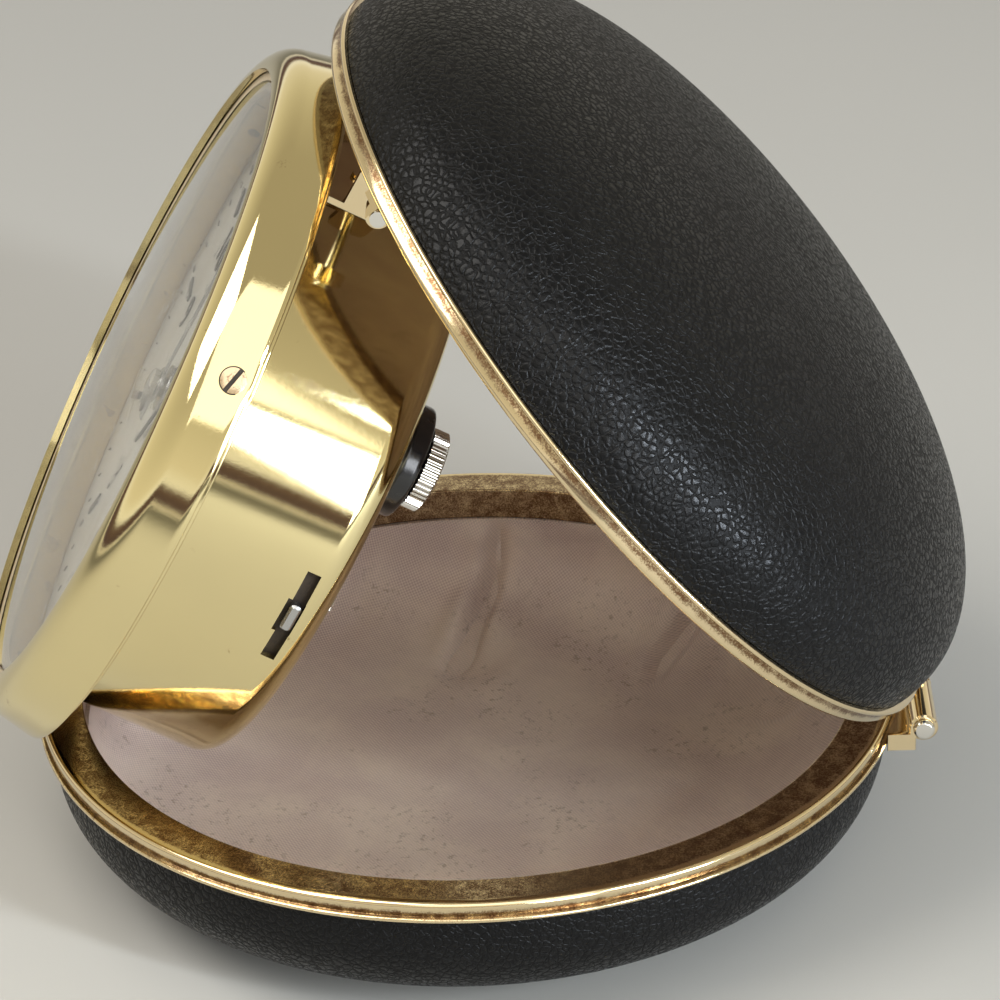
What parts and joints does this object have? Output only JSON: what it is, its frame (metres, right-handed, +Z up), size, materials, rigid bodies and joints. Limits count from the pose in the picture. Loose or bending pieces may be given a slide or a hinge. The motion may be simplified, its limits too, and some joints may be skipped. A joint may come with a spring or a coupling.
{
  "type": "travel alarm clock",
  "caption": "Folding round travel alarm clock: leather covered clamshell case with a satin lined base, a lid held open behind, and a polished drum clock hinged at the lid's front edge.",
  "frame": {"origin": "Middle of the flat foot under the round base, on the table.", "axes": "+Z up, the dial looks towards -Y and up, +X is the clock's 3 o'clock side; the lid's hinge is at +Y."},
  "size_m": [0.0886, 0.1001, 0.0914],
  "materials": {
    "leather": "pebbled",
    "rim": "worn plated",
    "shell": "stamped",
    "lining": "satin",
    "bezel": "polished",
    "crystal": "clear",
    "gasket": "plain",
    "dial": "satin",
    "steel": "fine",
    "brass": "satin",
    "black": "polished",
    "nickel": "polished",
    "ink": "satin"
  },
  "bodies": {
    "base": {"base_leather": "leather", "base_shell": "shell", "base_rim": "rim", "base_lining": "lining", "base_hinge_leaf": "rim", "lid_hinge_pin": "nickel"},
    "lid": {"lid_leather": "leather", "lid_shell": "shell", "lid_rim": "rim", "lid_lining": "lining", "lid_hinge_leaf": "rim", "clock_hinge_lugs": "rim"},
    "clock": {"clock_hinge_pin": "nickel", "clock_bracket": "rim", "bracket_rivets": "rim", "bezel": "bezel", "screw_ring": "brass", "bezel_screws": "nickel", "crystal": "crystal", "crystal_gasket": "gasket", "dial": "dial", "hour_markers": "ink", "case_drum": "bezel", "front_plate": "brass", "rear_plate": "brass", "plate_pillars": "brass", "winding_clicks": "steel", "going_mainspring": "steel", "alarm_mainspring": "steel"},
    "minute_work": {"centre_wheel": "brass", "cannon_pinion": "steel", "minute_hand": "steel", "hand_nut": "nickel"},
    "hour_work": {"hour_wheel": "brass", "hour_hand": "steel"},
    "alarm_disc": {"alarm_wheel": "brass", "alarm_hand": "ink"},
    "minute_idler": {"minute_wheel": "brass"},
    "time_setting": {"set_wheel": "steel", "set_knob": "black"},
    "alarm_setting": {"alarm_set_arbor": "steel", "alarm_set_knob": "nickel"},
    "third": {"third_wheel": "brass"},
    "fourth": {"fourth_wheel": "brass"},
    "escape": {"escape_wheel": "brass"},
    "pallets": {"pallet_fork": "steel"},
    "balance": {"balance_wheel": "brass", "hairspring": "steel"},
    "going": {"going_barrel": "brass"},
    "going_arbor": {"going_winding_arbor": "steel", "going_winding_key": "brass"},
    "alarm_power": {"alarm_barrel": "brass"},
    "alarm_arbor": {"alarm_winding_arbor": "steel", "alarm_winding_key": "brass"},
    "strike": {"strike_wheel": "brass"},
    "hammer": {"alarm_hammer": "steel"},
    "lever": {"alarm_lever": "steel"}
  },
  "joints": [
    {"name": "lid_hinge", "type": "hinge", "parent": "base", "child": "lid", "pos_m": [0, 0.0457, 0.0181], "axis": [-1, 0, 0], "range_deg": [0, 48.8]},
    {"name": "clock_hinge", "type": "hinge", "parent": "lid", "child": "clock", "pos_m": [0, -0.00636, 0.07823], "axis": [1, 0, 0], "range_deg": [0, 66]},
    {"name": "minute_arbor", "type": "hinge", "parent": "clock", "child": "minute_work", "pos_m": [0, -0.02055, 0.04665], "axis": [0, -0.8746, 0.4848], "continuous": true},
    {"name": "hour_pipe", "type": "hinge", "parent": "clock", "child": "hour_work", "pos_m": [0, -0.02632, 0.04985], "axis": [0, -0.8746, 0.4848], "continuous": true},
    {"name": "minute_wheel_stud", "type": "hinge", "parent": "clock", "child": "minute_idler", "pos_m": [0.00792, -0.02316, 0.0543], "axis": [0, -0.8746, 0.4848], "continuous": true},
    {"name": "time_setting_tube", "type": "hinge", "parent": "clock", "child": "time_setting", "pos_m": [0.01749, -0.01474, 0.05712], "axis": [0, -0.8746, 0.4848], "continuous": true},
    {"name": "third_arbor", "type": "hinge", "parent": "clock", "child": "third", "pos_m": [-0.00482, -0.01721, 0.05266], "axis": [0, -0.8746, 0.4848], "continuous": true},
    {"name": "fourth_arbor", "type": "hinge", "parent": "clock", "child": "fourth", "pos_m": [-0.00062, -0.01368, 0.05903], "axis": [0, -0.8746, 0.4848], "continuous": true},
    {"name": "going_barrel_turn", "type": "hinge", "parent": "clock", "child": "going", "pos_m": [-0.01223, -0.02331, 0.04166], "axis": [0, -0.8746, 0.4848], "continuous": true},
    {"name": "going_key", "type": "hinge", "parent": "clock", "child": "going_arbor", "pos_m": [-0.01223, -0.01719, 0.03826], "axis": [0, -0.8746, 0.4848], "continuous": true},
    {"name": "escape_arbor", "type": "hinge", "parent": "clock", "child": "escape", "pos_m": [-0.00889, -0.01298, 0.0603], "axis": [0, -0.8746, 0.4848], "continuous": true},
    {"name": "pallet_arbor", "type": "hinge", "parent": "clock", "child": "pallets", "pos_m": [-0.01294, -0.01403, 0.0584], "axis": [0, -0.8746, 0.4848], "range_deg": [-4, 4]},
    {"name": "balance_staff", "type": "hinge", "parent": "clock", "child": "balance", "pos_m": [-0.0175, -0.01521, 0.05627], "axis": [0, -0.8746, 0.4848], "range_deg": [-220, 220]},
    {"name": "alarm_setting_arbor", "type": "hinge", "parent": "clock", "child": "alarm_setting", "pos_m": [0.01749, -0.01474, 0.05712], "axis": [0, -0.8746, 0.4848], "continuous": true},
    {"name": "alarm_pipe", "type": "hinge", "parent": "clock", "child": "alarm_disc", "pos_m": [0, -0.02711, 0.05028], "axis": [0, -0.8746, 0.4848], "continuous": true},
    {"name": "alarm_barrel_turn", "type": "hinge", "parent": "clock", "child": "alarm_power", "pos_m": [0.01256, -0.02406, 0.04031], "axis": [0, -0.8746, 0.4848], "continuous": true},
    {"name": "alarm_key", "type": "hinge", "parent": "clock", "child": "alarm_arbor", "pos_m": [0.01256, -0.01794, 0.03691], "axis": [0, -0.8746, 0.4848], "continuous": true},
    {"name": "strike_arbor", "type": "hinge", "parent": "clock", "child": "strike", "pos_m": [0.0159, -0.01802, 0.0512], "axis": [0, -0.8746, 0.4848], "continuous": true},
    {"name": "hammer_arbor", "type": "hinge", "parent": "clock", "child": "hammer", "pos_m": [0.0226, -0.01899, 0.04945], "axis": [0, -0.8746, 0.4848], "range_deg": [-4, 6]},
    {"name": "alarm_lever_slide", "type": "hinge", "parent": "clock", "child": "lever", "pos_m": [0, -0.01525, 0.04371], "axis": [0, -0.8746, 0.4848], "range_deg": [-5.5, 5.5]}
  ],
  "couplings": [
    {"joint": "clock_hinge", "follows": "lid_hinge", "ratio": 1.35},
    {"joint": "minute_arbor", "follows": "fourth_arbor", "ratio": 0.027778},
    {"joint": "minute_wheel_stud", "follows": "fourth_arbor", "ratio": -0.0092593},
    {"joint": "hour_pipe", "follows": "fourth_arbor", "ratio": 0.0023148},
    {"joint": "time_setting_tube", "follows": "fourth_arbor", "ratio": 0.015152},
    {"joint": "third_arbor", "follows": "fourth_arbor", "ratio": -0.16667},
    {"joint": "going_barrel_turn", "follows": "fourth_arbor", "ratio": -0.0061728},
    {"joint": "alarm_pipe", "follows": "alarm_setting_arbor", "ratio": -0.33333},
    {"joint": "strike_arbor", "follows": "alarm_barrel_turn", "ratio": -5}
  ]
}
